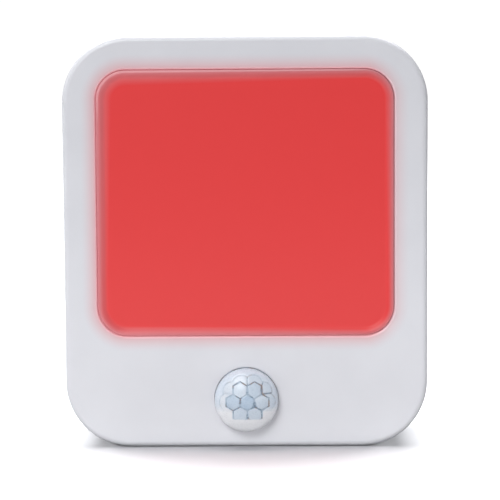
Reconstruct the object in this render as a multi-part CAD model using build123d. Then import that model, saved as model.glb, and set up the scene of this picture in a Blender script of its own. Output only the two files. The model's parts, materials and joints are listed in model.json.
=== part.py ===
from build123d import *

import os
from math import atan2, degrees

# Plug-in red safelight with a motion sensor, as separate solids, one STEP file for each node.
#
# Millimetres. The origin is the middle of the rear face, which lies against the wall socket.
# +Y goes into the wall, so the lit front faces -Y. +Z is up, and +X is to the right of a person facing it.

# ---------------------------------------------------------------- driving dimensions

# The case: two shells that meet at the parting line, the rear one with a lip inside the front one.
WIDTH = 75.0
HEIGHT = 85.0
DEPTH = 28.0
CORNER_R = 13.6
WALL = 2.0
FRONT_WALL = 2.2
REAR_WALL = 2.2
FRONT_EDGE_R = 1.2
REAR_EDGE_R = 1.2
PARTING_Y = -13.0
PARTING_CHAMFER = 0.3
LIP_DEPTH = 2.0
LIP_WALL = 0.9
LIP_RELIEF = 0.3
ROOT = 0.2
FIT_GAP = 0.1
SAME_PLACE = 0.01

# The window in the front, and the panel that shows through it.
WINDOW_W = 61.3
WINDOW_H = 55.0
WINDOW_R = 6.2
BEZEL = (WIDTH - WINDOW_W) / 2
WINDOW_Z = HEIGHT / 2 - BEZEL - WINDOW_H / 2
WINDOW_EDGE_R = 0.45
PANEL_GAP = 0.2
PANEL_RIM_SET_BACK = 0.2
PANEL_RIM = 0.45
PANEL_RIM_R = 0.2
PANEL_DISH = 0.7
PANEL_DISH_RUN = 1.8
PANEL_THICKNESS = 1.9
PANEL_BACK_INSET = 1.9
PANEL_FLANGE = 2.0
PANEL_FLANGE_T = 1.4

# The sensor's lens, its collar and the sensor behind it.
SENSOR_Z = -32.5
SENSOR_HOLE_R = 6.62
SENSOR_HOLE_EDGE_R = 0.15
LENS_R = 6.5
LENS_WALL = 0.6
LENS_SKIRT = 1.2
LENS_RISE = 3.3
LENS_CORNER_R = 1.8
LENS_FLANGE_R = 8.0
LENS_FLANGE_T = 0.8
COLLAR_GAP = 0.15
COLLAR_WALL = 1.25
COLLAR_DEPTH = 4.0
RETAINER_T = 2.8
RETAINER_BORE_R = 6.0
RETAINER_CHAMFER = 0.4
CAN_R = 4.15
CAN_EDGE_R = 0.35
CAN_HEIGHT = 3.7
CAN_FLANGE_R = 4.65
CAN_FLANGE_T = 0.3
CAN_SHEET = 0.25
CAN_SET_BACK = 0.4
CAN_HOLE_W = 4.0
CAN_HOLE_H = 3.0
FILTER_W = 5.0
FILTER_H = 4.0
FILTER_T = 0.4
HEADER_DISC_T = 0.5
SENSOR_LEAD_CIRCLE_R = 2.54
SENSOR_LEAD_R = 0.23
SENSOR_LEAD_STUB = 1.0

# The reflector tray and the lamp board.
TRAY_W = 58.0
TRAY_H = 52.5
TRAY_R = 7.0
TRAY_FLANGE_W = 63.0
TRAY_FLANGE_H = 57.0
TRAY_FLANGE_R = 8.0
TRAY_FLANGE_T = 1.0
TRAY_WALL = 1.2
TRAY_TAPER = 3.4
TRAY_FLOOR = 1.0
LAMP_BOARD_T = 1.2
LAMP_BOARD_FRONT_Y = -16.8
LAMP_BOARD_BOTTOM = -39.8
LED_COLUMNS = 4
LED_ROWS = 3
LED_PITCH_X = 12.6
LED_PITCH_Z = 14.6
LED_L = 3.5
LED_W = 2.8
LED_T = 0.7
LED_WELL_R = 1.15
LED_WELL_DEPTH = 0.4
LED_HOLE_GAP = 0.3
CHIP_X = 13.0
CHIP_Z = -28.5
CHIP_L = 9.9
CHIP_W = 3.9
CHIP_T = 1.5
CHIP_STAND_OFF = 0.15
CHIP_CHAMFER = 0.2
CHIP_LEADS_PER_SIDE = 8
CHIP_LEAD_PITCH = 1.27
CHIP_LEAD_W = 0.4
CHIP_LEAD_T = 0.2
CHIP_LEAD_SHOULDER = 0.45
CHIP_LEAD_REACH = 1.1
CHIP_LEAD_RISE = 0.75
SMALL_PART_L = 2.0
SMALL_PART_W = 1.2
SMALL_PART_T = 0.55

# The power board and what stands on it.
POWER_BOARD_T = 1.6
POWER_BOARD_Y = -4.6
POWER_BOARD_LEFT = -28.0
POWER_BOARD_RIGHT = 33.4
POWER_BOARD_BOTTOM = -25.0
POWER_BOARD_TOP = 22.5
POWER_BOARD_CORNER_R = 1.5
HEADER_X = [-21.0 + 2.54 * n for n in range(4)]
HEADER_Z = -22.4
HEADER_PIN = 0.64
HEADER_STRIP_W = 2.5
HEADER_HOLE_R = 0.48
LEAD_R = 0.3
LEAD_HOLE_R = 0.4
LEAD_STUB = 1.2
LEAD_BEND_R = 0.8
DROPPER = {"x": 0.0, "z": -14.4, "length": 18.0, "width": 6.6, "height": 8.4, "edge_r": 0.5, "lead_pitch": 15.0}
SMOOTHING = {"x0": -22.0, "x1": -10.0, "z": 11.6, "radius": 4.0, "lead_pitch": 3.5, "lead_reach": 1.6}
SMOOTHING_EDGE_R = 0.5
SMOOTHING_GROOVE = {"from_end": 1.3, "width": 0.7, "depth": 0.3}
FUSIBLE = {"x": 8.0, "z": 15.4, "length": 9.0, "radius": 1.6, "lead_pitch": 13.0}
DISCHARGE = {"x": 8.0, "z": 9.6, "length": 6.3, "radius": 1.15, "lead_pitch": 10.0}
BRIDGE = {"x": -15.8, "z": -2.0, "length": 4.8, "width": 4.0, "height": 2.3, "lead_pitch": 2.6}
AXIAL_STAND_OFF = 0.4
AXIAL_WAIST_SHARE = 0.86
AXIAL_PLAIN_SHARE = 0.58
AXIAL_BULGE_ROUND_SHARE = 0.35
BOARD_STAND_OFF = 0.15
BRIDGE_CHAMFER = 0.3
BRIDGE_LEAD_L = 1.3
BRIDGE_LEAD_W = 0.7
BRIDGE_LEAD_T = 0.25

# Screws, and the bosses, standoffs and ribs that hold the boards.
CASE_BOSS_X = 30.3
CASE_BOSS_Z = 35.25
CASE_BOSS_R = 3.1
UPPER_BOSS_FRONT_Y = -23.0
CASE_SCREW_R = 1.25
CASE_SCREW_END_Y = -20.6
CASE_SCREW_HEAD_R = 2.4
CASE_SCREW_HEAD_T = 1.6
COUNTERBORE_R = 2.7
COUNTERBORE_DEPTH = 2.2
BOARD_SCREW_R = 0.95
BOARD_SCREW_LENGTH = 5.0
BOARD_SCREW_HEAD_R = 1.8
BOARD_SCREW_HEAD_T = 1.2
SCREW_CLEARANCE = 0.2
THREAD_GAP = 0.05
THREAD_RUN_OUT = 0.4
# Shares of the shank's radius, of its length, and of the head's height or radius.
THREAD_PITCH_SHARE = 0.8
THREAD_CORE_SHARE = 0.8
SHANK_POINT_SHARE = 1.2
SHANK_NECK_SHARE = 0.25
HEAD_ROUND_SHARE = 0.45
RECESS_DEPTH_SHARE = 0.6
RECESS_ARM_SHARE = 0.58
RECESS_SLOT_SHARE = 0.13
BLIND_HOLE_FLOOR = 1.0
STANDOFF_R = 2.4
LAMP_SCREW_X = 21.0
LAMP_SCREW_Z = -35.5
PRESS_RIB_X = 14.0
PRESS_RIB_T = 1.6
PRESS_RIB_BOTTOM = 26.0
PRESS_RIB_TOP = 32.0

# The two flat plug blades.
BLADE_SPACING = 12.7
BLADE_W = 6.35
BLADE_T = 1.5
BLADE_GAP = 0.05
BLADE_LENGTH = 16.5
BLADE_HOLE_R = 1.6
BLADE_HOLE_Y = 11.9
BLADE_TIP_CHAMFER = 0.45
BLADE_TIP_CORNER = 1.6
BLADE_SHOULDER_W = 9.4
BLADE_SHOULDER_T = 1.2
BLADE_TAIL_W = 2.6
BLADE_TAIL_STUB = 1.2
BLADE_TAIL_GAP = 0.15

# The three-position slide switch and its knob, in the right-hand wall.
SWITCH_Y = -9.2
SWITCH_TRAVEL = 2.0
SWITCH_X0 = 26.4
SWITCH_X1 = 31.8
SWITCH_BODY_L = 12.6
SWITCH_BODY_W = 5.8
SWITCH_CORNER_R = 0.4
SWITCH_SHEET = 0.3
SWITCH_BASE_T = 1.2
SWITCH_PIN_X = 27.4
SWITCH_PIN_Z = [-4.5, -1.5, 1.5, 4.5]
SWITCH_PIN_T = 0.5
SWITCH_PIN_W = 0.6
SWITCH_PIN_HOLE_R = 0.5
SLIDER_GAP = 0.3
SLIDER_L = 6.0
SLIDER_W = 3.8
STEM_L = 3.0
STEM_W = 2.2
STEM_GAP = 0.3
KNOB_L = 11.6
KNOB_W = 4.8
KNOB_PROUD = 0.9
KNOB_GAP = 0.25
KNOB_CORNER_R = 0.8
KNOB_EDGE_R = 0.35
KNOB_GROOVES = 5
KNOB_GROOVE_PITCH = 1.9
KNOB_GROOVE_R = 0.6
KNOB_GROOVE_DEPTH = 0.35
SOCKET_DEPTH = 0.8
POCKET_DEPTH = 1.0
POCKET_CORNER_R = 1.0
PIP_R = 0.35
PIP_OFFSET = 1.4
PIP_PITCH = 1.1
PIP_ROW_PITCH = 4.4

# The blank rating label, set into the rear face.
LABEL_W = 34.0
LABEL_H = 13.0
LABEL_R = 1.5
LABEL_T = 0.15
LABEL_RECESS = 0.3
LABEL_GAP = 0.2
LABEL_Z = -25.0

# ---------------------------------------------------------------- places worked out from them

FRONT_Y = -DEPTH
FRONT_INNER_Y = FRONT_Y + FRONT_WALL
REAR_INNER_Y = -REAR_WALL
SIDE_X = WIDTH / 2
SIDE_INNER_X = SIDE_X - WALL
PANEL_RIM_Y = FRONT_Y + PANEL_RIM_SET_BACK
PANEL_FACE_Y = PANEL_RIM_Y + PANEL_DISH
PANEL_BACK_Y = PANEL_FACE_Y + PANEL_THICKNESS
PANEL_FLANGE_BACK_Y = FRONT_INNER_Y + PANEL_FLANGE_T
LAMP_BOARD_BACK_Y = LAMP_BOARD_FRONT_Y + LAMP_BOARD_T
LAMP_BOARD_TOP = WINDOW_Z + TRAY_H / 2
LED_FRONT_Y = LAMP_BOARD_FRONT_Y - LED_T
POWER_BOARD_FRONT_Y = POWER_BOARD_Y - POWER_BOARD_T
LENS_SHOULDER_Y = FRONT_Y - LENS_SKIRT
LENS_FLANGE_BACK_Y = FRONT_INNER_Y + LENS_FLANGE_T
COLLAR_BORE_R = LENS_FLANGE_R + COLLAR_GAP
CAN_FRONT_Y = FRONT_Y + CAN_SET_BACK
CAN_BACK_Y = CAN_FRONT_Y + CAN_HEIGHT
SENSOR_BASE_Y = CAN_BACK_Y + HEADER_DISC_T
SWITCH_FRONT_Y = POWER_BOARD_FRONT_Y - SWITCH_BODY_W
KNOB_BACK_X = SIDE_X - POCKET_DEPTH + KNOB_GAP
SMOOTHING_AXIS_Y = POWER_BOARD_FRONT_Y - SMOOTHING["radius"] - BOARD_STAND_OFF

CASE_SCREW_PLACES = [(x, z) for x in (-CASE_BOSS_X, CASE_BOSS_X) for z in (-CASE_BOSS_Z, CASE_BOSS_Z)]
LAMP_SCREW_PLACES = [(-LAMP_SCREW_X, LAMP_SCREW_Z), (LAMP_SCREW_X, LAMP_SCREW_Z)]
POWER_SCREW_PLACES = [(-24.6, -20.6), (-24.6, 18.6), (29.6, -20.6), (29.6, 18.6)]
LED_PLACES = [
    (LED_PITCH_X * (column - (LED_COLUMNS - 1) / 2), WINDOW_Z + LED_PITCH_Z * (row - (LED_ROWS - 1) / 2))
    for column in range(LED_COLUMNS)
    for row in range(LED_ROWS)
]
SENSOR_LEAD_PLACES = [
    (SENSOR_LEAD_CIRCLE_R * dx, SENSOR_Z + SENSOR_LEAD_CIRCLE_R * dz) for dx, dz in ((-1, 0), (0, -1), (1, 0))
]
SMALL_PART_PLACES = [(x, z) for z in (2.0, 16.0) for x in (-24.0, -18.0, -12.0)]
SMALL_PART_PLACES += [(4.0 + 3.2 * n, -36.2) for n in range(4)]

# ---------------------------------------------------------------- building blocks


def facing_front(y, x=0.0, z=0.0):
    """A plane at depth y whose local x is +X, local y is +Z and whose normal points to the front, -Y."""
    return Plane(origin=(x, y, z), x_dir=(1, 0, 0), z_dir=(0, -1, 0))


def rounded_slab(width, height, radius, back_y, front_y, z=0.0):
    """A rounded rectangle as seen from the front, from back_y forwards to front_y."""
    outline = facing_front(back_y, 0, z) * RectangleRounded(width, height, radius)
    return extrude(outline, amount=back_y - front_y)


def disc(radius, back_y, front_y, x=0.0, z=0.0):
    """A round bar along Y."""
    return extrude(facing_front(back_y, x, z) * Circle(radius), amount=back_y - front_y)


def block(x0, x1, y0, y1, z0, z1):
    """A box between two corners."""
    middle = ((x0 + x1) / 2, (y0 + y1) / 2, (z0 + z1) / 2)
    return Pos(*middle) * Box(x1 - x0, y1 - y0, z1 - z0)


def tapered_slab(back, front, z=0.0):
    """A solid between two rounded rectangles, each given as (y, width, height, radius)."""
    outlines = [facing_front(y, 0, z) * RectangleRounded(w, h, r) for y, w, h, r in (back, front)]
    return loft(outlines)


def bar_along_x(radius, x0, x1, y, z):
    """A round bar along X."""
    plane = Plane(origin=(x0, y, z), x_dir=(0, 1, 0), z_dir=(1, 0, 0))
    return extrude(plane * Circle(radius), amount=x1 - x0)


def edges_at_y(solid, y):
    """The edges that lie wholly in the plane at depth y."""
    return solid.edges().filter_by_position(Axis.Y, y - SAME_PLACE, y + SAME_PLACE)


# ---------------------------------------------------------------- case


def case_slab(inset, back_y, front_y):
    """The case's outline, moved inwards by inset, as a slab from back_y forwards to front_y."""
    return rounded_slab(WIDTH - 2 * inset, HEIGHT - 2 * inset, CORNER_R - inset, back_y, front_y)


def front_housing():
    """The front shell: face, side walls, window, sensor hole, screw bosses and the lens collar."""
    outside = case_slab(0, PARTING_Y, FRONT_Y)
    outside = fillet(outside.faces().sort_by(Axis.Y)[0].edges(), FRONT_EDGE_R)
    outside = chamfer(outside.faces().sort_by(Axis.Y)[-1].edges(), PARTING_CHAMFER)
    rabbet_front_y = PARTING_Y - LIP_DEPTH - FIT_GAP
    rabbet = case_slab(WALL - LIP_WALL - FIT_GAP, PARTING_Y, rabbet_front_y)
    shell = outside - case_slab(WALL, PARTING_Y, FRONT_INNER_Y) - rabbet

    inside_the_lip = case_slab(WALL + FIT_GAP, PARTING_Y, rabbet_front_y)
    clear_of_the_lip = outside - (rabbet - inside_the_lip)
    wall_root_y = FRONT_INNER_Y - ROOT
    posts = [
        disc(CASE_BOSS_R, PARTING_Y - FIT_GAP, wall_root_y if z < 0 else UPPER_BOSS_FRONT_Y, x, z)
        for x, z in CASE_SCREW_PLACES
    ]
    posts += [disc(STANDOFF_R, LAMP_BOARD_FRONT_Y, wall_root_y, x, z) for x, z in LAMP_SCREW_PLACES]
    collar_back_y = FRONT_INNER_Y + COLLAR_DEPTH
    posts.append(disc(COLLAR_BORE_R + COLLAR_WALL, collar_back_y, wall_root_y, 0, SENSOR_Z))
    for post in posts:
        shell += post & clear_of_the_lip

    shell -= disc(COLLAR_BORE_R, collar_back_y, FRONT_INNER_Y, 0, SENSOR_Z)
    for x, z in CASE_SCREW_PLACES:
        shell -= disc(CASE_SCREW_R + THREAD_GAP, PARTING_Y, CASE_SCREW_END_Y - THREAD_RUN_OUT, x, z)
    for x, z in LAMP_SCREW_PLACES:
        hole_end_y = LAMP_BOARD_FRONT_Y - BOARD_SCREW_LENGTH
        shell -= disc(BOARD_SCREW_R + THREAD_GAP, LAMP_BOARD_FRONT_Y, hole_end_y, x, z)

    shell -= rounded_slab(WINDOW_W, WINDOW_H, WINDOW_R, FRONT_INNER_Y, FRONT_Y, WINDOW_Z)
    shell -= disc(SENSOR_HOLE_R, FRONT_INNER_Y, FRONT_Y, 0, SENSOR_Z)
    for longest_or_shortest, radius in ((-1, WINDOW_EDGE_R), (0, SENSOR_HOLE_EDGE_R)):
        face = shell.faces().sort_by(Axis.Y)[0]
        rim = face.inner_wires().sort_by(SortBy.LENGTH)[longest_or_shortest]
        shell = fillet(rim.edges(), radius)
    return shell


def rear_housing():
    """The rear shell: blade slots, screw bosses, board standoffs, press ribs and the knob's pocket."""
    outside = case_slab(0, 0, PARTING_Y)
    outside = fillet(outside.faces().sort_by(Axis.Y)[-1].edges(), REAR_EDGE_R)
    outside = chamfer(outside.faces().sort_by(Axis.Y)[0].edges(), PARTING_CHAMFER)
    shell = outside - case_slab(WALL, REAR_INNER_Y, PARTING_Y)
    lip_front_y = PARTING_Y - LIP_DEPTH
    lip_back_y = PARTING_Y + LIP_DEPTH
    lip = case_slab(WALL - LIP_WALL, lip_back_y, lip_front_y) - case_slab(WALL, lip_back_y, lip_front_y)
    for x, z in CASE_SCREW_PLACES:
        lip -= disc(CASE_BOSS_R + LIP_RELIEF, PARTING_Y, lip_front_y, x, z)
    shell += lip

    wall_root_y = REAR_INNER_Y + ROOT
    for x, z in CASE_SCREW_PLACES:
        shell += disc(CASE_BOSS_R, wall_root_y, PARTING_Y, x, z) & outside
    for x, z in POWER_SCREW_PLACES:
        shell += disc(STANDOFF_R, wall_root_y, POWER_BOARD_Y, x, z)
    for side in (-1, 1):
        x0, x1 = side * PRESS_RIB_X - PRESS_RIB_T / 2, side * PRESS_RIB_X + PRESS_RIB_T / 2
        shell += block(x0, x1, LAMP_BOARD_BACK_Y, wall_root_y, PRESS_RIB_BOTTOM, PRESS_RIB_TOP)

    for x, z in CASE_SCREW_PLACES:
        shell -= disc(CASE_SCREW_R + SCREW_CLEARANCE, 0, PARTING_Y, x, z)
        shell -= disc(COUNTERBORE_R, 0, -COUNTERBORE_DEPTH, x, z)
    for x, z in POWER_SCREW_PLACES:
        shell -= disc(BOARD_SCREW_R + THREAD_GAP, -BLIND_HOLE_FLOOR, POWER_BOARD_Y, x, z)
    for side in (-1, 1):
        x = side * BLADE_SPACING / 2
        half_t, half_w = BLADE_T / 2 + BLADE_GAP, BLADE_W / 2 + BLADE_GAP
        shell -= block(x - half_t, x + half_t, REAR_INNER_Y, 0, -half_w, half_w)
    recess_w, recess_h = LABEL_W + 2 * LABEL_GAP, LABEL_H + 2 * LABEL_GAP
    shell -= rounded_slab(recess_w, recess_h, LABEL_R + LABEL_GAP, 0, -LABEL_RECESS, LABEL_Z)

    half_w, half_l = KNOB_W / 2 + KNOB_GAP, KNOB_L / 2 + SWITCH_TRAVEL + KNOB_GAP
    pocket_x = SIDE_X - POCKET_DEPTH
    pocket = block(pocket_x, SIDE_X + 1, SWITCH_Y - half_w, SWITCH_Y + half_w, -half_l, half_l)
    shell -= fillet(pocket.edges().filter_by(Axis.X), POCKET_CORNER_R)
    shell -= stem_slot(SIDE_INNER_X - 1, SIDE_X)
    for pips, position in ((1, -1), (2, 0), (3, 1)):
        for n in range(pips):
            y = SWITCH_Y + KNOB_W / 2 + PIP_OFFSET + PIP_PITCH * n
            shell -= Pos(SIDE_X, y, PIP_ROW_PITCH * position) * Sphere(PIP_R)
    return shell


def stem_slot(x0, x1):
    """The room that the switch's stem slides in, between two depths along X."""
    half_w, half_l = STEM_W / 2 + STEM_GAP, STEM_L / 2 + SWITCH_TRAVEL + STEM_GAP
    return block(x0, x1, SWITCH_Y - half_w, SWITCH_Y + half_w, -half_l, half_l)


def pan_screw(x, z, seat_y, side, radius, length, head_r, head_t):
    """A cross-recess screw seated at seat_y. Side +1 has its head towards the rear, and -1 to the front."""
    top_y = seat_y + side * head_t
    head = disc(head_r, max(seat_y, top_y), min(seat_y, top_y), x, z)
    head = fillet(edges_at_y(head, top_y), HEAD_ROUND_SHARE * head_t)
    recess_y = sorted((top_y, top_y - side * RECESS_DEPTH_SHARE * head_t))
    arm, half_slot = RECESS_ARM_SHARE * head_r, RECESS_SLOT_SHARE * head_r
    for half_x, half_z in ((arm, half_slot), (half_slot, arm)):
        head -= block(x - half_x, x + half_x, *recess_y, z - half_z, z + half_z)
    return head + threaded_shank(x, z, seat_y, -side, radius, length)


def threaded_shank(x, z, start_y, way, radius, length):
    """A shank along Y with a plain neck, ring-shaped threads and a blunt point; way is +1 or -1."""
    pitch, core = THREAD_PITCH_SHARE * radius, THREAD_CORE_SHARE * radius
    neck, point = SHANK_NECK_SHARE * length, SHANK_POINT_SHARE * radius
    profile = [(0, 0), (radius, 0), (radius, neck)]
    for n in range(int((length - neck - point) / pitch)):
        profile += [(core, neck + pitch * (n + 0.5)), (radius, neck + pitch * (n + 1))]
    profile.append((0, length))
    corners = [(x + r, start_y + way * run, z) for r, run in profile]
    return revolve(make_face(Polyline(*corners, close=True)), Axis((x, 0, z), (0, 1, 0)))


def case_screws():
    """Four pan-head screws, from the rear housing into the front housing's bosses."""
    seat_y = -COUNTERBORE_DEPTH
    length = seat_y - CASE_SCREW_END_Y
    return [
        pan_screw(x, z, seat_y, 1, CASE_SCREW_R, length, CASE_SCREW_HEAD_R, CASE_SCREW_HEAD_T)
        for x, z in CASE_SCREW_PLACES
    ]


def board_screws(places, seat_y, side):
    """The small screws of one board, seated on it at seat_y."""
    sizes = BOARD_SCREW_R, BOARD_SCREW_LENGTH, BOARD_SCREW_HEAD_R, BOARD_SCREW_HEAD_T
    return [pan_screw(x, z, seat_y, side, *sizes) for x, z in places]


def rating_label():
    """A blank label in its shallow recess in the rear face."""
    return rounded_slab(LABEL_W, LABEL_H, LABEL_R, LABEL_T - LABEL_RECESS, -LABEL_RECESS, LABEL_Z)


# ---------------------------------------------------------------- front panel and optics


def diffuser():
    """The red panel: a narrow rim in the window, a shallow dish, and a flange behind the front wall."""
    width, height, radius = WINDOW_W - 2 * PANEL_GAP, WINDOW_H - 2 * PANEL_GAP, WINDOW_R - PANEL_GAP

    def outline(inset):
        return width - 2 * inset, height - 2 * inset, radius - inset

    panel = rounded_slab(*outline(0), PANEL_FLANGE_BACK_Y, PANEL_RIM_Y, WINDOW_Z)
    panel = fillet(panel.faces().sort_by(Axis.Y)[0].edges(), PANEL_RIM_R)
    panel += rounded_slab(*outline(-PANEL_FLANGE), PANEL_FLANGE_BACK_Y, FRONT_INNER_Y, WINDOW_Z)
    dish_floor = (PANEL_FACE_Y, *outline(PANEL_RIM + PANEL_DISH_RUN))
    panel -= tapered_slab(dish_floor, (PANEL_RIM_Y, *outline(PANEL_RIM)), WINDOW_Z)
    return panel - rounded_slab(*outline(PANEL_BACK_INSET), PANEL_FLANGE_BACK_Y, PANEL_BACK_Y, WINDOW_Z)


def reflector_tray():
    """A white tray between the panel and the lamp board, with a hole for each LED in its floor."""
    front_y = PANEL_FLANGE_BACK_Y

    def section(y, inset):
        return y, TRAY_W - 2 * inset, TRAY_H - 2 * inset, TRAY_R - inset

    flange_back_y = front_y + TRAY_FLANGE_T
    tray = rounded_slab(TRAY_FLANGE_W, TRAY_FLANGE_H, TRAY_FLANGE_R, flange_back_y, front_y, WINDOW_Z)
    tray += tapered_slab(section(LAMP_BOARD_FRONT_Y, TRAY_TAPER), section(front_y, 0), WINDOW_Z)
    floor_y = LAMP_BOARD_FRONT_Y - TRAY_FLOOR
    tray -= tapered_slab(section(floor_y, TRAY_TAPER + TRAY_WALL), section(front_y, TRAY_WALL), WINDOW_Z)
    half_l, half_w = LED_L / 2 + LED_HOLE_GAP, LED_W / 2 + LED_HOLE_GAP
    for x, z in LED_PLACES:
        tray -= block(x - half_l, x + half_l, floor_y, LAMP_BOARD_FRONT_Y, z - half_w, z + half_w)
    return tray


def lens_cap(inset):
    """The cap's section, moved inwards by inset: a crown arc on the axis and a tangent corner arc."""
    corner_x = LENS_R - LENS_CORNER_R
    crown_r = (corner_x**2 + LENS_RISE**2 - LENS_CORNER_R**2) / (2 * (LENS_RISE - LENS_CORNER_R))
    turn = degrees(atan2(crown_r - LENS_RISE, corner_x))
    crown = CenterArc((0, LENS_RISE - crown_r), crown_r - inset, turn, 90 - turn)
    return crown + CenterArc((corner_x, 0), LENS_CORNER_R - inset, 0, turn)


def sensor_lens():
    """The domed lens: a cap and skirt through the front wall, and a flange behind it."""
    inner_r = LENS_R - LENS_WALL
    flange_front, flange_back = LENS_SHOULDER_Y - FRONT_INNER_Y, LENS_SHOULDER_Y - LENS_FLANGE_BACK_Y
    rim = [(LENS_R, 0), (LENS_R, flange_front), (LENS_FLANGE_R, flange_front)]
    rim += [(LENS_FLANGE_R, flange_back), (inner_r, flange_back), (inner_r, 0)]
    axis_line = Line((0, LENS_RISE - LENS_WALL), (0, LENS_RISE))
    section = make_face(lens_cap(0) + lens_cap(LENS_WALL) + Polyline(*rim) + axis_line)
    plane = Plane(origin=(0, LENS_SHOULDER_Y, SENSOR_Z), x_dir=(1, 0, 0), z_dir=(0, 0, -1))
    return plane * revolve(section, Axis.Y)


def lens_retainer():
    """The ring pressed into the collar behind the lens flange."""
    back_y = LENS_FLANGE_BACK_Y + RETAINER_T
    ring = disc(COLLAR_BORE_R - THREAD_GAP, back_y, LENS_FLANGE_BACK_Y, 0, SENSOR_Z)
    ring = chamfer(ring.faces().sort_by(Axis.Y)[-1].edges(), RETAINER_CHAMFER)
    return ring - disc(RETAINER_BORE_R, back_y, LENS_FLANGE_BACK_Y, 0, SENSOR_Z)


# ---------------------------------------------------------------- motion sensor


def sensor_can():
    """The sensor's metal cap, with a square hole for its window."""
    can = disc(CAN_R, CAN_BACK_Y, CAN_FRONT_Y, 0, SENSOR_Z)
    can = fillet(can.faces().sort_by(Axis.Y)[0].edges(), CAN_EDGE_R)
    can += disc(CAN_FLANGE_R, CAN_BACK_Y, CAN_BACK_Y - CAN_FLANGE_T, 0, SENSOR_Z)
    can -= disc(CAN_R - CAN_SHEET, CAN_BACK_Y, CAN_FRONT_Y + CAN_SHEET, 0, SENSOR_Z)
    return can - sensor_block(CAN_HOLE_W, CAN_HOLE_H, CAN_FRONT_Y, CAN_FRONT_Y + CAN_SHEET)


def sensor_block(width, height, front_y, back_y):
    """A rectangular piece centred on the sensor's axis."""
    return block(-width / 2, width / 2, front_y, back_y, SENSOR_Z - height / 2, SENSOR_Z + height / 2)


def sensor_filter():
    """The infrared filter behind the cap's hole."""
    front_y = CAN_FRONT_Y + CAN_SHEET
    return sensor_block(FILTER_W, FILTER_H, front_y, front_y + FILTER_T)


def sensor_header():
    """The metal disc that closes the cap and carries the leads."""
    return disc(CAN_FLANGE_R, SENSOR_BASE_Y, CAN_BACK_Y, 0, SENSOR_Z)


def sensor_leads():
    """Three round leads from the header through the spacer and the lamp board."""
    end_y = LAMP_BOARD_BACK_Y + SENSOR_LEAD_STUB
    return [disc(SENSOR_LEAD_R, end_y, SENSOR_BASE_Y, x, z) for x, z in SENSOR_LEAD_PLACES]


def sensor_spacer():
    """The plastic spacer that holds the sensor off the lamp board."""
    spacer = disc(CAN_FLANGE_R, LAMP_BOARD_FRONT_Y, SENSOR_BASE_Y, 0, SENSOR_Z)
    for x, z in SENSOR_LEAD_PLACES:
        spacer -= disc(SENSOR_LEAD_R + FIT_GAP, LAMP_BOARD_FRONT_Y, SENSOR_BASE_Y, x, z)
    return spacer


# ---------------------------------------------------------------- lamp board


def lamp_board():
    """The board that carries the LEDs, the sensor and its control chip."""
    height, middle = LAMP_BOARD_TOP - LAMP_BOARD_BOTTOM, (LAMP_BOARD_TOP + LAMP_BOARD_BOTTOM) / 2
    board = rounded_slab(TRAY_W, height, TRAY_R, LAMP_BOARD_BACK_Y, LAMP_BOARD_FRONT_Y, middle)
    holes = [(x, z, CASE_BOSS_R + SCREW_CLEARANCE) for x, z in CASE_SCREW_PLACES]
    holes += [(x, z, BOARD_SCREW_R + SCREW_CLEARANCE) for x, z in LAMP_SCREW_PLACES]
    holes += [(x, z, SENSOR_LEAD_R + FIT_GAP) for x, z in SENSOR_LEAD_PLACES]
    holes += [(x, HEADER_Z, HEADER_HOLE_R) for x in HEADER_X]
    return drilled(board, holes, LAMP_BOARD_BACK_Y, LAMP_BOARD_FRONT_Y)


def drilled(board, holes, back_y, front_y):
    """A board with round holes through it, each given as (x, z, radius)."""
    for x, z, radius in holes:
        board -= disc(radius, back_y, front_y, x, z)
    return board


def led_bodies():
    """The white package of each LED, with a round well in its front."""
    half_l, half_w = LED_L / 2, LED_W / 2
    package = block(-half_l, half_l, LED_FRONT_Y, LAMP_BOARD_FRONT_Y, -half_w, half_w) - led_well(0, 0)
    return [Pos(x, 0, z) * package for x, z in LED_PLACES]


def led_well(x, z):
    """The round well in the front of one LED."""
    return disc(LED_WELL_R, LED_FRONT_Y + LED_WELL_DEPTH, LED_FRONT_Y, x, z)


def led_resin():
    """The clear resin that fills each LED's well."""
    return [led_well(x, z) for x, z in LED_PLACES]


def lamp_screws():
    """Two screws that hold the lamp board to the front housing."""
    return board_screws(LAMP_SCREW_PLACES, LAMP_BOARD_BACK_Y, 1)


def control_chip():
    """The motion sensor's control chip, on the back of the lamp board."""
    y0, half_l, half_w = LAMP_BOARD_BACK_Y + CHIP_STAND_OFF, CHIP_L / 2, CHIP_W / 2
    chip = block(CHIP_X - half_l, CHIP_X + half_l, y0, y0 + CHIP_T, CHIP_Z - half_w, CHIP_Z + half_w)
    return chamfer(chip.faces().sort_by(Axis.Y)[-1].edges(), CHIP_CHAMFER)


def control_chip_leads():
    """The chip's gull-wing leads, in a row on each side."""
    rise, shoulder, reach, t = CHIP_LEAD_RISE, CHIP_LEAD_SHOULDER, CHIP_LEAD_REACH, CHIP_LEAD_T
    steps = [(0, rise), (shoulder, rise), (shoulder, 0), (reach, 0)]
    steps += [(reach, t), (shoulder + t, t), (shoulder + t, rise + t), (0, rise + t)]
    leads = []
    for side in (-1, 1):
        for n in range(CHIP_LEADS_PER_SIDE):
            x = CHIP_X + CHIP_LEAD_PITCH * (n - (CHIP_LEADS_PER_SIDE - 1) / 2) - CHIP_LEAD_W / 2
            z0 = CHIP_Z + side * CHIP_W / 2
            corners = [(x, LAMP_BOARD_BACK_Y + up, z0 + side * out) for out, up in steps]
            section = make_face(Polyline(*corners, close=True))
            leads.append(extrude(section, amount=CHIP_LEAD_W, dir=(1, 0, 0)))
    return leads


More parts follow.
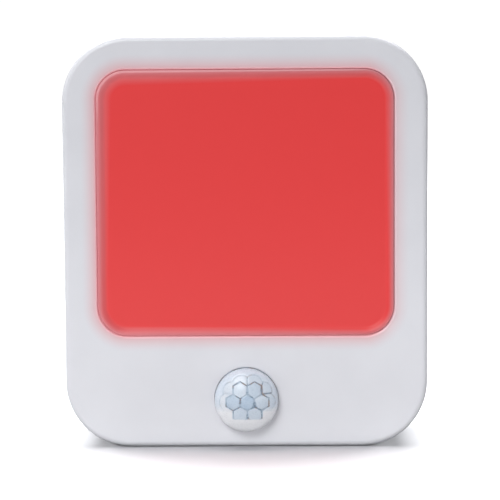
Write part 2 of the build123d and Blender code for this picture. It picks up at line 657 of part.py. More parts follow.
def chip_resistors():
    """The small surface-mount resistors on the back of the lamp board."""
    y0, half_l, half_w = LAMP_BOARD_BACK_Y, SMALL_PART_L / 2, SMALL_PART_W / 2
    resistor = block(-half_l, half_l, y0, y0 + SMALL_PART_T, -half_w, half_w)
    return [Pos(x, 0, z) * resistor for x, z in SMALL_PART_PLACES]


# ---------------------------------------------------------------- power board


def power_board():
    """The mains board, on four standoffs in the rear housing."""
    y0, y1 = POWER_BOARD_FRONT_Y, POWER_BOARD_Y
    board = block(POWER_BOARD_LEFT, POWER_BOARD_RIGHT, y0, y1, POWER_BOARD_BOTTOM, POWER_BOARD_TOP)
    board = fillet(board.edges().filter_by(Axis.Y), POWER_BOARD_CORNER_R)
    for side in (-1, 1):
        x = side * BLADE_SPACING / 2
        half_t, half_w = BLADE_T / 2 + BLADE_TAIL_GAP, BLADE_TAIL_W / 2 + BLADE_TAIL_GAP
        board -= block(x - half_t, x + half_t, y0, y1, -half_w, half_w)
    holes = [(x, z, BOARD_SCREW_R + SCREW_CLEARANCE) for x, z in POWER_SCREW_PLACES]
    holes += [(x, HEADER_Z, HEADER_HOLE_R) for x in HEADER_X]
    holes += [(SWITCH_PIN_X, z, SWITCH_PIN_HOLE_R) for z in SWITCH_PIN_Z]
    holes += [(x, z, LEAD_HOLE_R) for x, z in dropper_lead_places() + smoothing_lead_places()]
    holes += [(x, z, LEAD_HOLE_R) for spec in (FUSIBLE, DISCHARGE) for x, z in axial_lead_places(spec)]
    return drilled(board, holes, y1, y0)


def power_screws():
    """Four screws that hold the power board to its standoffs. Their heads face the front."""
    return board_screws(POWER_SCREW_PLACES, POWER_BOARD_FRONT_Y, -1)


def header_strip():
    """The plastic strip of the pin header between the two boards."""
    half_w = HEADER_STRIP_W / 2
    x0, x1 = HEADER_X[0] - half_w, HEADER_X[-1] + half_w
    front_y = POWER_BOARD_FRONT_Y - HEADER_STRIP_W
    strip = block(x0, x1, front_y, POWER_BOARD_FRONT_Y, HEADER_Z - half_w, HEADER_Z + half_w)
    for x in HEADER_X:
        strip -= header_pin(x, front_y, POWER_BOARD_FRONT_Y)
    return strip


def header_pin(x, front_y, back_y):
    """One square pin of the header, between two depths."""
    half = HEADER_PIN / 2
    return block(x - half, x + half, front_y, back_y, HEADER_Z - half, HEADER_Z + half)


def header_pins():
    """Four square pins that join the power board to the lamp board."""
    return [header_pin(x, LAMP_BOARD_FRONT_Y - HEADER_PIN, POWER_BOARD_Y + HEADER_PIN) for x in HEADER_X]


def dropper_lead_places():
    """(x, z) of the film capacitor's two leads."""
    return [(DROPPER["x"] + side * DROPPER["lead_pitch"] / 2, DROPPER["z"]) for side in (-1, 1)]


def dropper_capacitor():
    """The mains film capacitor, in its box."""
    half_l, half_w = DROPPER["length"] / 2, DROPPER["width"] / 2
    x, z, top_y = DROPPER["x"], DROPPER["z"], POWER_BOARD_FRONT_Y - DROPPER["height"]
    box = block(x - half_l, x + half_l, top_y, POWER_BOARD_FRONT_Y, z - half_w, z + half_w)
    return fillet(box.edges(), DROPPER["edge_r"])


def dropper_capacitor_leads():
    """The film capacitor's two leads, through the board."""
    end_y = POWER_BOARD_Y + LEAD_STUB
    return [disc(LEAD_R, end_y, POWER_BOARD_FRONT_Y, x, z) for x, z in dropper_lead_places()]


def smoothing_lead_places():
    """(x, z) where the electrolytic capacitor's two leads pass through the board."""
    x = SMOOTHING["x1"] + SMOOTHING["lead_reach"]
    return [(x, SMOOTHING["z"] + side * SMOOTHING["lead_pitch"] / 2) for side in (-1, 1)]


def smoothing_capacitor():
    """The electrolytic capacitor, lying on the board, with a rolled groove near its lead end."""
    y, z, r = SMOOTHING_AXIS_Y, SMOOTHING["z"], SMOOTHING["radius"]
    can = fillet(bar_along_x(r, SMOOTHING["x0"], SMOOTHING["x1"], y, z).edges(), SMOOTHING_EDGE_R)
    groove_x1 = SMOOTHING["x1"] - SMOOTHING_GROOVE["from_end"]
    groove_x0 = groove_x1 - SMOOTHING_GROOVE["width"]
    core_r = r - SMOOTHING_GROOVE["depth"]
    groove = bar_along_x(r + 1, groove_x0, groove_x1, y, z) - bar_along_x(core_r, groove_x0, groove_x1, y, z)
    return can - groove


def smoothing_capacitor_leads():
    """Its two leads, straight out of the end and then down through the board."""
    return [bent_lead(SMOOTHING["x1"], SMOOTHING_AXIS_Y, x, z) for x, z in smoothing_lead_places()]


def bent_lead(from_x, from_y, down_x, z):
    """A round wire along X from a component to down_x, with one bend, then back through the power board."""
    corners = [(from_x, from_y, z), (down_x, from_y, z), (down_x, POWER_BOARD_Y + LEAD_STUB, z)]
    start = Plane(origin=corners[0], z_dir=(1 if down_x > from_x else -1, 0, 0))
    return sweep(start * Circle(LEAD_R), path=FilletPolyline(*corners, radius=LEAD_BEND_R))


def axial_y(spec):
    """The depth of an axial resistor's axis."""
    return POWER_BOARD_FRONT_Y - spec["radius"] - AXIAL_STAND_OFF


def axial_lead_places(spec):
    """(x, z) where an axial resistor's two leads pass through the board."""
    return [(spec["x"] + side * spec["lead_pitch"] / 2, spec["z"]) for side in (-1, 1)]


def axial_resistor(spec):
    """A resistor's body: a barrel with a bulge at each end."""
    y, z, half, r = axial_y(spec), spec["z"], spec["length"] / 2, spec["radius"]
    body = bar_along_x(AXIAL_WAIST_SHARE * r, spec["x"] - half, spec["x"] + half, y, z)
    for side in (-1, 1):
        ends = sorted((spec["x"] + side * half, spec["x"] + side * AXIAL_PLAIN_SHARE * half))
        body += fillet(bar_along_x(r, *ends, y, z).edges(), AXIAL_BULGE_ROUND_SHARE * r)
    return body


def axial_leads(spec):
    """The two leads of a resistor, bent down through the board."""
    half = spec["length"] / 2
    return [
        bent_lead(spec["x"] + (half if x > spec["x"] else -half), axial_y(spec), x, z)
        for x, z in axial_lead_places(spec)
    ]


def bridge_rectifier():
    """The surface-mount bridge rectifier's body."""
    half_l, half_w = BRIDGE["length"] / 2, BRIDGE["width"] / 2
    back_y = POWER_BOARD_FRONT_Y - BOARD_STAND_OFF
    x, z = BRIDGE["x"], BRIDGE["z"]
    body = block(x - half_l, x + half_l, back_y - BRIDGE["height"], back_y, z - half_w, z + half_w)
    return chamfer(body.faces().sort_by(Axis.Y)[0].edges(), BRIDGE_CHAMFER)


def bridge_rectifier_leads():
    """Its four flat leads."""
    leads = []
    for x in (BRIDGE["x"] - BRIDGE["lead_pitch"] / 2, BRIDGE["x"] + BRIDGE["lead_pitch"] / 2):
        for side in (-1, 1):
            root_z = BRIDGE["z"] + side * BRIDGE["width"] / 2
            ends = sorted((root_z, root_z + side * BRIDGE_LEAD_L))
            x0, x1 = x - BRIDGE_LEAD_W / 2, x + BRIDGE_LEAD_W / 2
            leads.append(block(x0, x1, POWER_BOARD_FRONT_Y - BRIDGE_LEAD_T, POWER_BOARD_FRONT_Y, *ends))
    return leads


# ---------------------------------------------------------------- plug


def plug_blade(side):
    """One flat blade: a tip with a hole, a shoulder inside the rear wall, and a tail through the board."""
    x, half_w, half_t = side * BLADE_SPACING / 2, BLADE_W / 2, BLADE_T / 2
    corner_y, corner_z = BLADE_LENGTH - BLADE_TIP_CORNER, half_w - BLADE_TIP_CORNER
    outline = [(REAR_INNER_Y, -half_w), (corner_y, -half_w), (BLADE_LENGTH, -corner_z)]
    outline += [(BLADE_LENGTH, corner_z), (corner_y, half_w), (REAR_INNER_Y, half_w)]
    face = make_face(Polyline(*[(x, y, z) for y, z in outline], close=True))
    blade = extrude(face, amount=half_t, both=True)
    blade = chamfer(blade.faces().sort_by(Axis.Y)[-1].edges().filter_by(Axis.Z), BLADE_TIP_CHAMFER)
    blade -= Pos(x, BLADE_HOLE_Y, 0) * Rot(0, 90, 0) * Cylinder(BLADE_HOLE_R, 2 * BLADE_T)
    shoulder_y, tail_y = REAR_INNER_Y - BLADE_SHOULDER_T, POWER_BOARD_FRONT_Y - BLADE_TAIL_STUB
    shoulder = (shoulder_y, REAR_INNER_Y, BLADE_SHOULDER_W / 2)
    tail = (tail_y, shoulder_y, BLADE_TAIL_W / 2)
    for front_y, back_y, half_width in (shoulder, tail):
        blade += block(x - half_t, x + half_t, front_y, back_y, -half_width, half_width)
    return blade


# ---------------------------------------------------------------- mode switch

def switch_shell():
    """The switch's folded metal cover, open towards the board, with a slot for the stem."""
    half, t = SWITCH_BODY_L / 2, SWITCH_SHEET
    shell = block(SWITCH_X0, SWITCH_X1, SWITCH_FRONT_Y, POWER_BOARD_FRONT_Y, -half, half)
    shell = fillet(shell.edges().filter_by(Axis.Y), SWITCH_CORNER_R)
    room_z = half - t
    shell -= block(SWITCH_X0 + t, SWITCH_X1 - t, SWITCH_FRONT_Y + t, POWER_BOARD_FRONT_Y, -room_z, room_z)
    return shell - stem_slot(SWITCH_X1 - 1, SWITCH_X1)


def switch_base():
    """The insulating plate inside the cover that the contacts are set in."""
    gap = SWITCH_SHEET + FIT_GAP
    half = SWITCH_BODY_L / 2 - gap
    front_y, back_y = SWITCH_FRONT_Y + gap, POWER_BOARD_FRONT_Y - FIT_GAP
    return block(SWITCH_X0 + gap, SWITCH_X0 + gap + SWITCH_BASE_T, front_y, back_y, -half, half)


def switch_pins():
    """Four flat pins from the plate's edge through the power board."""
    start_y, end_y = POWER_BOARD_FRONT_Y - FIT_GAP, POWER_BOARD_Y + LEAD_STUB
    half_t, half_w = SWITCH_PIN_T / 2, SWITCH_PIN_W / 2
    return [
        block(SWITCH_PIN_X - half_t, SWITCH_PIN_X + half_t, start_y, end_y, z - half_w, z + half_w)
        for z in SWITCH_PIN_Z
    ]


def switch_slider():
    """The moving block inside the switch, with the stem that passes through the wall into the knob."""
    x0 = SWITCH_X0 + SWITCH_SHEET + FIT_GAP + SWITCH_BASE_T + SLIDER_GAP
    x1 = SWITCH_X1 - SWITCH_SHEET - SLIDER_GAP
    half_w, half_l = SLIDER_W / 2, SLIDER_L / 2
    slider = block(x0, x1, SWITCH_Y - half_w, SWITCH_Y + half_w, -half_l, half_l)
    return slider + stem(x0, KNOB_BACK_X + SOCKET_DEPTH)


def stem(x0, x1):
    """The switch's stem between two depths along X."""
    return block(x0, x1, SWITCH_Y - STEM_W / 2, SWITCH_Y + STEM_W / 2, -STEM_L / 2, STEM_L / 2)


def mode_knob():
    """The ridged knob in the pocket, with a socket in its back for the stem."""
    front_x = SIDE_X + KNOB_PROUD
    knob = block(KNOB_BACK_X, front_x, SWITCH_Y - KNOB_W / 2, SWITCH_Y + KNOB_W / 2, -KNOB_L / 2, KNOB_L / 2)
    knob = fillet(knob.edges().filter_by(Axis.X), KNOB_CORNER_R)
    knob = fillet(knob.faces().sort_by(Axis.X)[-1].edges(), KNOB_EDGE_R)
    for n in range(KNOB_GROOVES):
        z = KNOB_GROOVE_PITCH * (n - (KNOB_GROOVES - 1) / 2)
        groove = Rot(90, 0, 0) * Cylinder(KNOB_GROOVE_R, 2 * KNOB_W)
        knob -= Pos(front_x + KNOB_GROOVE_R - KNOB_GROOVE_DEPTH, SWITCH_Y, z) * groove
    return knob - stem(KNOB_BACK_X, KNOB_BACK_X + SOCKET_DEPTH)


# ---------------------------------------------------------------- nodes

NODES = {
    "front_housing": front_housing,
    "rear_housing": rear_housing,
    "case_screws": case_screws,
    "rating_label": rating_label,
    "diffuser": diffuser,
    "reflector_tray": reflector_tray,
    "sensor_lens": sensor_lens,
    "lens_retainer": lens_retainer,
    "sensor_can": sensor_can,
    "sensor_filter": sensor_filter,
    "sensor_header": sensor_header,
    "sensor_leads": sensor_leads,
    "sensor_spacer": sensor_spacer,
    "lamp_board": lamp_board,
    "led_bodies": led_bodies,
    "led_resin": led_resin,
    "lamp_screws": lamp_screws,
    "control_chip": control_chip,
    "control_chip_leads": control_chip_leads,
    "chip_resistors": chip_resistors,
    "power_board": power_board,
    "power_screws": power_screws,
    "header_strip": header_strip,
    "header_pins": header_pins,
    "dropper_capacitor": dropper_capacitor,
    "dropper_capacitor_leads": dropper_capacitor_leads,
    "smoothing_capacitor": smoothing_capacitor,
    "smoothing_capacitor_leads": smoothing_capacitor_leads,
    "fusible_resistor": lambda: axial_resistor(FUSIBLE),
    "fusible_resistor_leads": lambda: axial_leads(FUSIBLE),
    "discharge_resistor": lambda: axial_resistor(DISCHARGE),
    "discharge_resistor_leads": lambda: axial_leads(DISCHARGE),
    "bridge_rectifier": bridge_rectifier,
    "bridge_rectifier_leads": bridge_rectifier_leads,
    "plug_blade_left": lambda: plug_blade(-1),
    "plug_blade_right": lambda: plug_blade(1),
    "switch_shell": switch_shell,
    "switch_base": switch_base,
    "switch_pins": switch_pins,
    "switch_slider": switch_slider,
    "mode_knob": mode_knob,
}


def main():
    os.makedirs("parts", exist_ok=True)
    for name, make in NODES.items():
        made = make()
        shape = Compound(children=[Part(p.wrapped) for p in made]) if isinstance(made, list) else made
        export_step(shape, f"parts/{name}.step")


if __name__ == "__main__":
    main()
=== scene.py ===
import json
from math import atan2, cos, hypot, pi, radians, sin, sqrt, tau

import bpy
from mathutils import Matrix, Vector


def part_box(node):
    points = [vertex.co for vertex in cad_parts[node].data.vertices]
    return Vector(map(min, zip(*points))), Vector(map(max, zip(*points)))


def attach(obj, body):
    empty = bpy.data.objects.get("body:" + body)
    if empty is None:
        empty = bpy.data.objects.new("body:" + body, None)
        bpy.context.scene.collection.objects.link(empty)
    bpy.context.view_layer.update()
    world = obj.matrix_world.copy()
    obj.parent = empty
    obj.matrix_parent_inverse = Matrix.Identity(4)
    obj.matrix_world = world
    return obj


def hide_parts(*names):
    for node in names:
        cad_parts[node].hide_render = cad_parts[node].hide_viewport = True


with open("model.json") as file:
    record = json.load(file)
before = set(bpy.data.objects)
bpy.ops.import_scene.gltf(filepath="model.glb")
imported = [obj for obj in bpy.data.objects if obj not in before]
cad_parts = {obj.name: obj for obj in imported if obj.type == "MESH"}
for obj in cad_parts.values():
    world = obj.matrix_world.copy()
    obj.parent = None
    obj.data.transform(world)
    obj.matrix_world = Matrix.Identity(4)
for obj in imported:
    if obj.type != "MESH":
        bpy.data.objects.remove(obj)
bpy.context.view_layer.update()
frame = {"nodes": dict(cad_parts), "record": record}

MM = 0.001

# ---------------------------------------------------------------- places, in metres, from the frame

panel_low, panel_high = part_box("diffuser")
lens_low, lens_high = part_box("sensor_lens")
front_low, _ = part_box("front_housing")

FRONT_Y = front_low.y
FLOOR_Z = front_low.z

# The window, and the panel in it: rings of a rounded rectangle.
WINDOW_W = 61.3 * MM
WINDOW_H = 55.0 * MM
WINDOW_R = 6.2 * MM
WINDOW_Z = (panel_low.z + panel_high.z) / 2
PANEL_GAP = 0.1 * MM
PANEL_RIM = 0.45 * MM
PANEL_RIM_R = 0.2 * MM
PANEL_DISH = 0.6 * MM
PANEL_DISH_RUN = 1.45 * MM
PANEL_SMALLEST_R = 0.4 * MM
PANEL_BACK_INSET = 1.9 * MM
PANEL_THICKNESS = 1.9 * MM
PANEL_FLANGE = 2.0 * MM
PANEL_FLANGE_T = 1.4 * MM
PANEL_CLEARANCE = 0.02 * MM

# The panel's red light, painted on the housing: its reach over the front, and the depths at which the painted pink
# tint and the painted glow of the window's wall have faded out. Both are weaker at the window's right side.
HALO_REACH = 3.3 * MM
HALO_FALL = 1.6
TINT_DEPTH = 4 * MM
GLOW_DEPTH = 3 * MM
DEPTH_FADE = 1 * MM
RIGHT_SIDE = (0.50 * WINDOW_W, 0.42 * WINDOW_W)

# The lens: a crown, a rounded corner, a straight skirt and a flange behind the wall.
LENS_Z = (lens_low.z + lens_high.z) / 2
LENS_X = (lens_low.x + lens_high.x) / 2
LENS_APEX_Y = lens_low.y
LENS_BACK_Y = lens_high.y
LENS_R = 6.57 * MM
LENS_RISE = 3.3 * MM
LENS_CORNER_R = 1.8 * MM
LENS_WALL = 0.6 * MM
LENS_FLANGE_R = 8.0 * MM
LENS_FLANGE_T = 0.8 * MM
PATTERN_SHIFT = (0.25 * MM, -0.05 * MM)
HEX_PITCH = 2.96 * MM
PETALS = 10
PETAL_R = 5.75 * MM
PETAL_LINE_END = 1.05
PETAL_LOBE = 1.12
SEAM_W = 0.19 * MM
SEAM_DEPTH = 0.09 * MM
SEAM_FLATNESS = 1.5
SKIRT_LINE_RINGS = (0.75 * MM, 0.45 * MM)
LENS_CHAMFER = 0.1 * MM

# ---------------------------------------------------------------- shader building blocks


class Shader:
    """A material's node tree, with short calls for the nodes used here."""

    def __init__(self, name):
        self.material = bpy.data.materials.new(name)
        self.material.use_nodes = True
        self.tree = self.material.node_tree
        self.tree.nodes.clear()
        self.out = self.add("ShaderNodeOutputMaterial")
        self.bsdf = self.add("ShaderNodeBsdfPrincipled")
        self.link(self.bsdf.outputs["BSDF"], self.out.inputs["Surface"])
        self.place = self.add("ShaderNodeTexCoord").outputs["Object"]

    def add(self, kind, **settings):
        node = self.tree.nodes.new(kind)
        for key, value in settings.items():
            setattr(node, key, value)
        return node

    def link(self, source, target):
        self.tree.links.new(source, target)

    def put(self, socket, value):
        """A number or colour goes on the socket, and an output is linked to it."""
        if isinstance(value, bpy.types.NodeSocket):
            self.link(value, socket)
        else:
            socket.default_value = value

    def set(self, **values):
        for key, value in values.items():
            self.put(self.bsdf.inputs[key.replace("_", " ")], value)

    def math(self, operation, a, b=0.0, c=0.0):
        node = self.add("ShaderNodeMath", operation=operation)
        for socket, value in zip(node.inputs, (a, b, c)):
            self.put(socket, value)
        return node.outputs[0]

    def product(self, first, *others):
        for other in others:
            first = self.math("MULTIPLY", first, other)
        return first

    def noise(self, size, detail=2.0, roughness=0.5, stretch=(1, 1, 1), distortion=0.0):
        """Noise whose largest grain is about `size` metres, longer along an axis where stretch is larger."""
        mapping = self.add("ShaderNodeMapping")
        mapping.inputs["Scale"].default_value = [1 / (size * s) for s in stretch]
        self.link(self.place, mapping.inputs["Vector"])
        node = self.add("ShaderNodeTexNoise")
        node.inputs["Scale"].default_value = 1.0
        node.inputs["Detail"].default_value = detail
        node.inputs["Roughness"].default_value = roughness
        node.inputs["Distortion"].default_value = distortion
        self.link(mapping.outputs[0], node.inputs["Vector"])
        return node.outputs["Fac"]

    def ramp(self, factor, *stops):
        """stops are (position, colour)."""
        node = self.add("ShaderNodeValToRGB")
        elements = node.color_ramp.elements
        while len(elements) < len(stops):
            elements.new(0.5)
        for element, (position, colour) in zip(elements, stops):
            element.position = position
            element.color = (*colour, 1.0)
        self.link(factor, node.inputs["Fac"])
        return node.outputs["Color"]

    def span(self, factor, low, high, to_low=0.0, to_high=1.0):
        """Maps low..high to to_low..to_high, held at the ends."""
        node = self.add("ShaderNodeMapRange", clamp=True)
        for socket, value in zip(node.inputs[1:5], (low, high, to_low, to_high)):
            socket.default_value = value
        self.link(factor, node.inputs["Value"])
        return node.outputs["Result"]

    def mix(self, factor, a, b):
        node = self.add("ShaderNodeMix", data_type="RGBA")
        self.put(node.inputs["Factor"], factor)
        for socket, value in zip((node.inputs[6], node.inputs[7]), (a, b)):
            self.put(socket, (*value, 1.0) if isinstance(value, tuple) else value)
        return node.outputs[2]

    def bump(self, height, depth):
        node = self.add("ShaderNodeBump")
        node.inputs["Strength"].default_value = 1.0
        node.inputs["Distance"].default_value = depth
        self.link(height, node.inputs["Height"])
        return node.outputs["Normal"]

    def surface(self, grain, depth, low, high, **noise):
        """Fine grain: its roughness lies between low and high, and its bumps are depth metres high."""
        fine = self.noise(grain, **noise)
        self.set(Roughness=self.span(fine, 0.3, 0.7, low, high), Normal=self.bump(fine, depth))

    def axes(self):
        node = self.add("ShaderNodeSeparateXYZ")
        self.link(self.place, node.inputs[0])
        return node.outputs

    def window_distance(self):
        """Metres from the window's outline in the XZ plane, negative inside it."""
        x, _, z = self.axes()
        px = self.math("SUBTRACT", self.math("ABSOLUTE", x), WINDOW_W / 2 - WINDOW_R)
        pz = self.math("ABSOLUTE", self.math("SUBTRACT", z, WINDOW_Z))
        pz = self.math("SUBTRACT", pz, WINDOW_H / 2 - WINDOW_R)
        ox, oz = self.math("MAXIMUM", px, 0.0), self.math("MAXIMUM", pz, 0.0)
        outside = self.math("SQRT", self.math("MULTIPLY_ADD", ox, ox, self.math("MULTIPLY", oz, oz)))
        inside = self.math("MINIMUM", self.math("MAXIMUM", px, pz), 0.0)
        return self.math("SUBTRACT", self.math("ADD", outside, inside), WINDOW_R)


def plain(name, colour, rough=0.45, metal=0.0, grain=0.4 * MM, depth=0.01 * MM, vary=0.06,
          rough_vary=0.06, stretch=(1, 1, 1), **more):
    """A finish for one substance: its colour and gloss drift a little, and its surface has a fine grain."""
    s = Shader(name)
    cloud = s.noise(grain * 22, detail=3)
    dark = tuple(c * (1 - vary) for c in colour)
    light = tuple(min(1.0, c * (1 + vary)) for c in colour)
    s.set(Base_Color=s.ramp(cloud, (0.3, dark), (0.7, light)), Metallic=metal)
    s.surface(grain, depth, rough - rough_vary, rough + rough_vary, detail=4, stretch=stretch)
    s.set(**more)
    return s.material


# ---------------------------------------------------------------- materials


def moulded_white():
    """White moulded plastic, with the panel's red light painted round the window and on the window's wall."""
    s = Shader("housing_white")
    white = s.ramp(s.noise(9 * MM, detail=3), (0.35, (0.625, 0.632, 0.675)), (0.65, (0.64, 0.647, 0.69)))
    away = s.window_distance()
    x, y, _ = s.axes()
    # Painted light: a pink tint on the front round the window, fading outward and weaker at the right.
    tint = s.product(s.math("POWER", s.span(away, 0.0, HALO_REACH, 1.0, 0.0), HALO_FALL),
                     s.span(y, FRONT_Y + TINT_DEPTH, FRONT_Y + TINT_DEPTH - DEPTH_FADE),
                     s.span(x, *RIGHT_SIDE, 0.6, 1.0))
    # Painted glow on the window's wall, weaker at the right.
    wall = s.product(s.span(away, 0.5 * MM, 0.1 * MM),
                     s.span(y, FRONT_Y + GLOW_DEPTH, FRONT_Y + GLOW_DEPTH - DEPTH_FADE),
                     s.span(x, *RIGHT_SIDE, 0.4, 1.0))
    s.set(Base_Color=s.mix(tint, white, (0.66, 0.37, 0.40)),
          Emission_Color=s.mix(wall, (0.0, 0.0, 0.0), (0.20, 0.08, 0.09)), Emission_Strength=1.0,
          Specular_IOR_Level=0.5, IOR=1.5)
    s.surface(0.22 * MM, 0.003 * MM, 0.33, 0.43, detail=3, roughness=0.6)
    return s.material


def lit_red():
    """Red milky plastic, lit from behind: an even deep red, duller and milkier at its edge, where its light fades
    and painted shade from the window's lip darkens it, with a painted highlight on its upper lip.

    The painted shade makes the edge widest at the upper left and narrowest at the lower right, and the edge's glow
    is painted stronger at the left than at the right.
    """
    s = Shader("panel_red")
    x, _, z = s.axes()
    # Painted shade: the dull edge is widened at the top and the left, and narrowed at the bottom and the right.
    upper = s.span(z, WINDOW_Z - 0.3 * WINDOW_H, WINDOW_Z + 0.5 * WINDOW_H, 0.75, 1.15)
    left = s.span(x, -0.5 * WINDOW_W, 0.5 * WINDOW_W, 1.05, 0.6)
    depth = s.math("DIVIDE", s.product(s.window_distance(), -1.0), s.product(upper, left))
    inner = s.math("POWER", s.span(depth, 0.3 * MM, 2.9 * MM), 0.7)
    # A painted highlight along the upper lip, away from its right end.
    lip = s.product(s.span(depth, 0.12 * MM, 0.25 * MM),
                    s.span(depth, 0.65 * MM, 0.5 * MM),
                    s.span(z, WINDOW_Z + 0.30 * WINDOW_H, WINDOW_Z + 0.42 * WINDOW_H),
                    s.span(x, 0.46 * WINDOW_W, 0.36 * WINDOW_W))
    edge = s.mix(lip, (0.40, 0.17, 0.19), (0.53, 0.30, 0.32))
    # Painted glow at the edge, stronger at the left than at the right.
    painted_edge_glow = s.mix(s.span(x, -0.5 * WINDOW_W, 0.5 * WINDOW_W), (0.80, 0.15, 0.17), (0.30, 0.04, 0.05))
    s.set(Base_Color=s.mix(inner, edge, (0.50, 0.025, 0.026)),
          Emission_Color=s.mix(inner, painted_edge_glow, (0.80, 0.03, 0.03)), Emission_Strength=0.25, IOR=1.49)
    s.surface(0.3 * MM, 0.004 * MM, 0.42, 0.52, detail=3)
    return s.material


def lens_white():
    """Milky polyethylene. The facets' painted tint and the painted shade in their seams come from the mesh."""
    s = Shader("lens_white")
    facet = s.add("ShaderNodeAttribute", attribute_name="facet").outputs["Fac"]
    seam = s.add("ShaderNodeAttribute", attribute_name="seam").outputs["Fac"]
    cloud = s.noise(2.2 * MM, detail=3, distortion=0.6)
    colour = s.ramp(s.product(facet, s.span(cloud, 0.3, 0.7, 0.8, 1.15)),
                    (0.0, (0.74, 0.75, 0.79)), (0.22, (0.56, 0.625, 0.71)),
                    (0.5, (0.50, 0.575, 0.67)), (1.0, (0.34, 0.44, 0.56)))
    # The seams' colour is painted shade: dark blue-grey, turning brown in places by a noise.
    line = s.ramp(s.noise(1.3 * MM, detail=2),
                  (0.42, (0.34, 0.42, 0.52)), (0.52, (0.13, 0.20, 0.29)), (0.60, (0.20, 0.15, 0.14)))
    # A faint painted glow, bluish white, lifts the dome's shaded side.
    s.set(Base_Color=s.mix(seam, colour, line), IOR=1.53,
          Subsurface_Weight=0.4, Subsurface_Scale=1.6 * MM, Subsurface_Radius=(1.0, 1.0, 1.0),
          Emission_Color=(0.80, 0.88, 1.0, 1.0), Emission_Strength=0.045)
    s.surface(0.25 * MM, 0.002 * MM, 0.24, 0.34, detail=2)
    return s.material


finishes = {
    "housing_white": moulded_white(),
    "tray_white": plain("tray_white", (0.82, 0.82, 0.81), rough=0.35),
    "plastic_black": plain("plastic_black", (0.022, 0.022, 0.024), rough=0.42, vary=0.2, depth=0.015 * MM),
    "board_green": plain("board_green", (0.015, 0.115, 0.05), rough=0.34, grain=0.3 * MM, vary=0.25,
                         Coat_Weight=0.4, Coat_Roughness=0.12),
    "board_white": plain("board_white", (0.74, 0.75, 0.72), rough=0.4, grain=0.3 * MM,
                         Coat_Weight=0.3, Coat_Roughness=0.2),
    "screw_steel": plain("screw_steel", (0.56, 0.57, 0.58), rough=0.3, metal=1.0, grain=0.25 * MM, vary=0.12),
    "tinned_wire": plain("tinned_wire", (0.66, 0.66, 0.65), rough=0.28, metal=1.0, grain=0.2 * MM, vary=0.1),
    "blade_brass": plain("blade_brass", (0.78, 0.74, 0.66), rough=0.26, metal=1.0, grain=0.12 * MM,
                         depth=0.006 * MM, vary=0.05, rough_vary=0.07, stretch=(1, 18, 1)),
    "can_steel": plain("can_steel", (0.62, 0.62, 0.61), rough=0.25, metal=1.0, grain=0.3 * MM, vary=0.08),
    "filter_dark": plain("filter_dark", (0.05, 0.045, 0.05), rough=0.15, vary=0.25),
    "led_white": plain("led_white", (0.80, 0.80, 0.78), rough=0.5),
    "led_resin": plain("led_resin", (0.72, 0.52, 0.16), rough=0.25, vary=0.12),
    "label_silver": plain("label_silver", (0.60, 0.61, 0.62), rough=0.36, metal=0.55, grain=0.1 * MM,
                          vary=0.05, stretch=(20, 1, 1)),
    "film_yellow": plain("film_yellow", (0.72, 0.46, 0.03), rough=0.38, vary=0.1),
    "sleeve_black": plain("sleeve_black", (0.02, 0.022, 0.03), rough=0.3, vary=0.2),
    "resistor_green": plain("resistor_green", (0.16, 0.26, 0.20), rough=0.5, vary=0.12),
    "resistor_blue": plain("resistor_blue", (0.10, 0.28, 0.46), rough=0.4, vary=0.1),
    "contact_beige": plain("contact_beige", (0.50, 0.42, 0.30), rough=0.5, vary=0.1),
}

for entry in frame["record"]["subparts"]:
    if entry["material_slot"] in finishes:
        for material_slot in frame["nodes"][entry["node"]].material_slots:
            material_slot.material = finishes[entry["material_slot"]]

# ---------------------------------------------------------------- mesh building blocks


def new_object(name, data):
    obj = bpy.data.objects.new(name, data)
    bpy.context.scene.collection.objects.link(obj)
    return obj


def new_piece(name, vertices, faces, material, slot):
    """A smooth piece of the housing's body."""
    mesh = bpy.data.meshes.new(name)
    mesh.from_pydata(vertices, [], faces)
    mesh.validate()
    mesh.update()
    mesh.polygons.foreach_set("use_smooth", [True] * len(mesh.polygons))
    mesh.materials.append(material)
    obj = new_object(name, mesh)
    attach(obj, "housing")
    return obj


def rounded_ring(half_w, half_h, radius, y):
    """Points round a rounded rectangle at depth y, anticlockwise from the right side, the same count each time."""
    corner_steps, side_steps = 16, 8
    points = []
    corners = ((1, 1, 0.0), (-1, 1, 0.5 * pi), (-1, -1, pi), (1, -1, 1.5 * pi))
    for sx, sz, start in corners:
        cx, cz = sx * (half_w - radius), sz * (half_h - radius)
        for step in range(corner_steps + 1):
            angle = start + 0.5 * pi * step / corner_steps
            points.append(Vector((cx + radius * cos(angle), y, WINDOW_Z + cz + radius * sin(angle))))
    ring = []
    stride = corner_steps + 1
    for corner in range(4):
        arc = points[corner * stride:(corner + 1) * stride]
        ring.extend(arc)
        after = points[((corner + 1) % 4) * stride]
        ring.extend(arc[-1].lerp(after, step / side_steps) for step in range(1, side_steps))
    return ring


def lofted(rings):
    """Quads between rings of equal count, with one face over the first ring and one over the last."""
    count = len(rings[0])
    vertices = [v for ring in rings for v in ring]
    faces = []
    for r in range(len(rings) - 1):
        a, b = r * count, (r + 1) * count
        faces.extend((a + i, a + (i + 1) % count, b + (i + 1) % count, b + i) for i in range(count))
    faces.append(tuple(reversed(range(count))))
    faces.append(tuple(range((len(rings) - 1) * count, len(rings) * count)))
    return vertices, faces


# ---------------------------------------------------------------- the red panel


